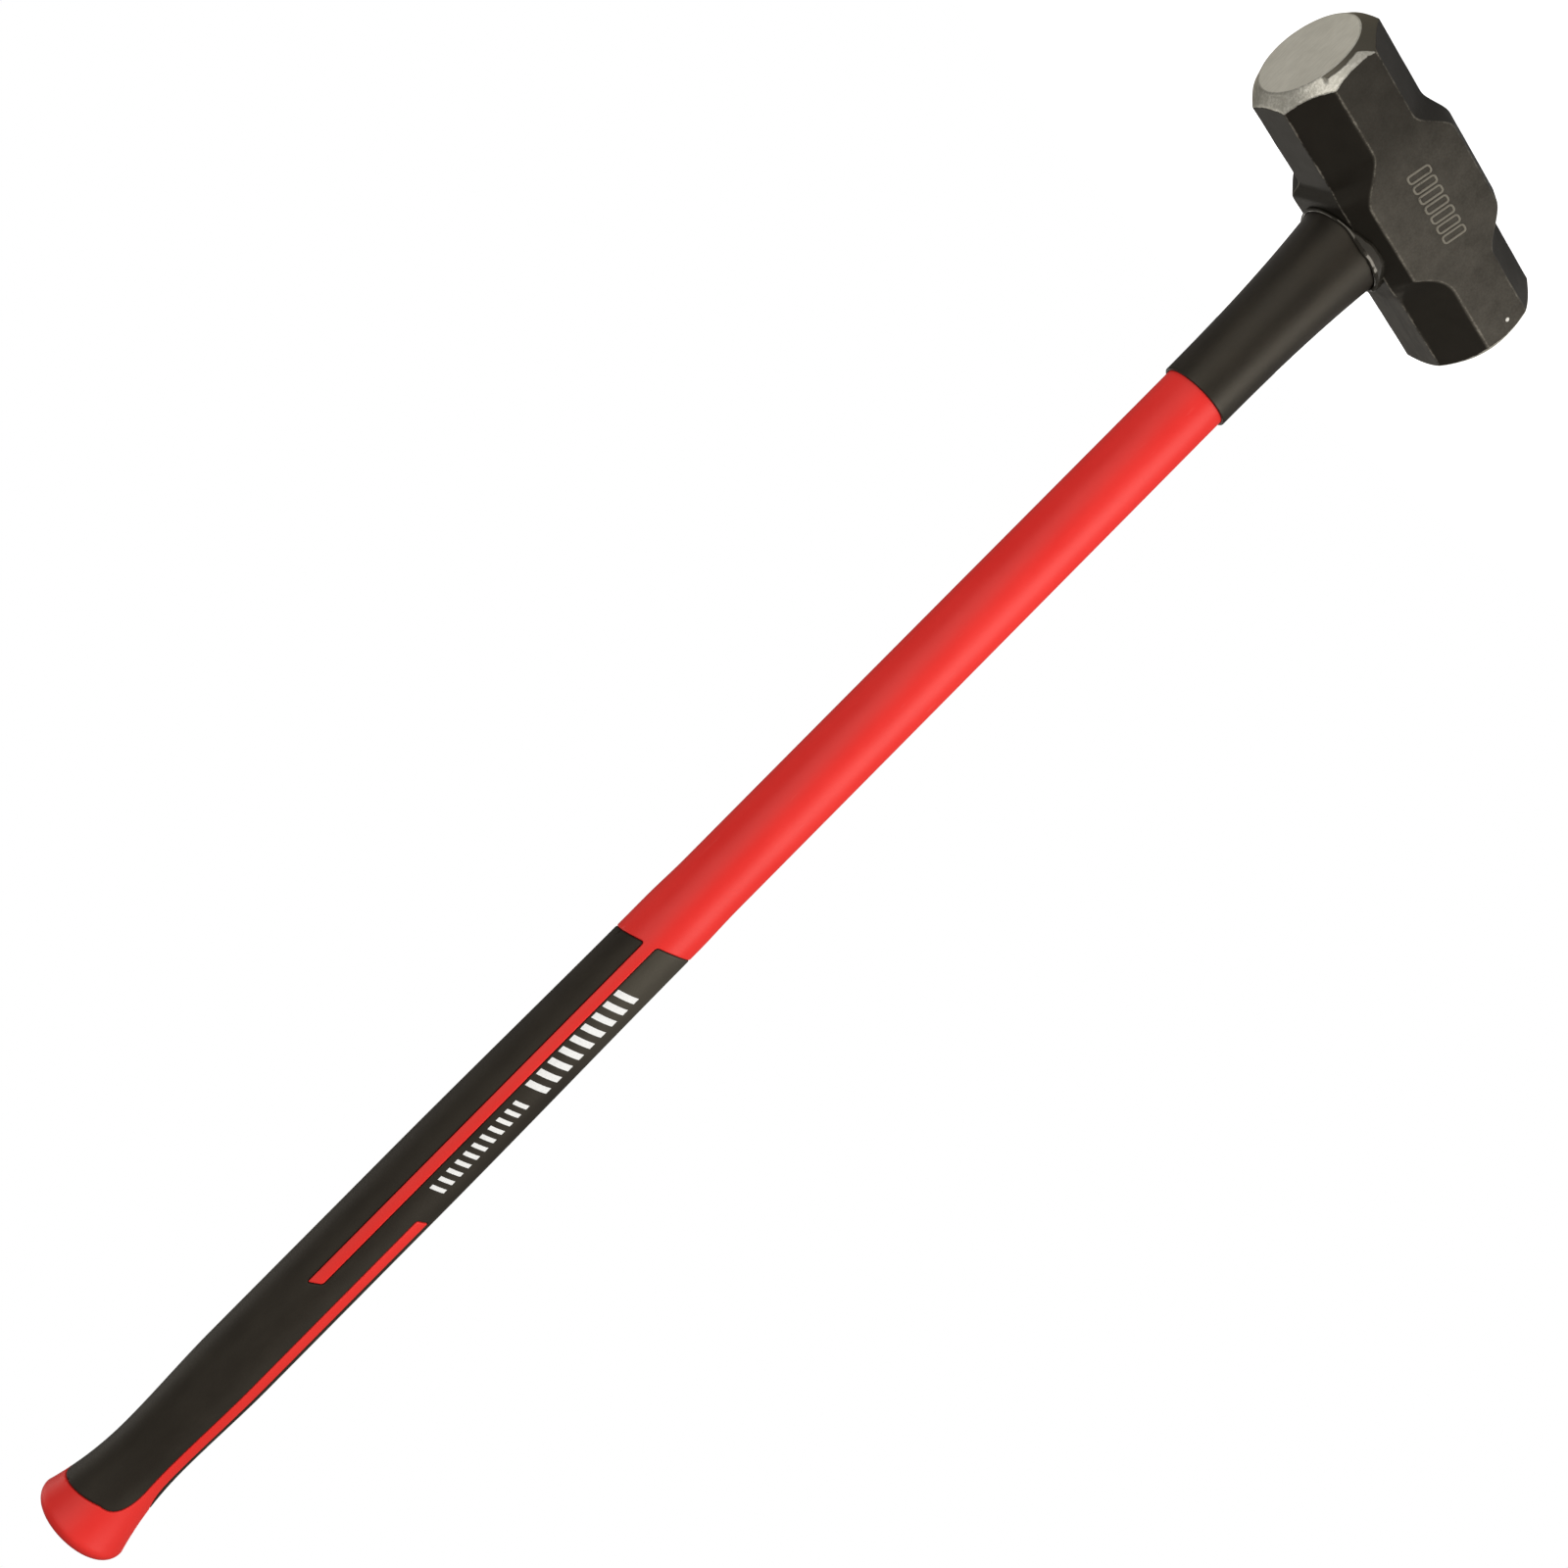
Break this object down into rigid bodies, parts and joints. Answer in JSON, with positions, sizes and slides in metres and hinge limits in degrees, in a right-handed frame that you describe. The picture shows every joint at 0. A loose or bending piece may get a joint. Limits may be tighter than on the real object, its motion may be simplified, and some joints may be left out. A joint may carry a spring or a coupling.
{
  "type": "sledgehammer",
  "caption": "Two-handed sledgehammer with a forged octagonal double-faced steel head and a bonded fibreglass handle with overstrike sleeve and soft grip.",
  "frame": {"origin": "Centre of the bounding box's bottom, on the flat boss over the eye, where the hammer stands on its head.", "axes": "+Z runs along the handle from the head to the butt, X runs along the head between the two striking faces, and Y runs across the cheeks."},
  "size_m": [0.172, 0.06, 0.9071],
  "materials": {
    "head_steel": "black lacquered forging with ground bright striking faces",
    "fibreglass": "cut end of a pultruded rod",
    "epoxy": "poured and set, glossy",
    "glue": "squeezed out and set, glossy",
    "sleeve_black": "satin",
    "jacket_red": "satin",
    "grip_black": "matte soft-touch"
  },
  "bodies": {
    "root": {"hammer_head": "head_steel", "fibreglass_core": "fibreglass", "eye_epoxy": "epoxy", "glue_bead": "glue", "overstrike_sleeve": "sleeve_black", "handle_jacket": "jacket_red", "grip_overmould": "grip_black"}
  },
  "joints": []
}
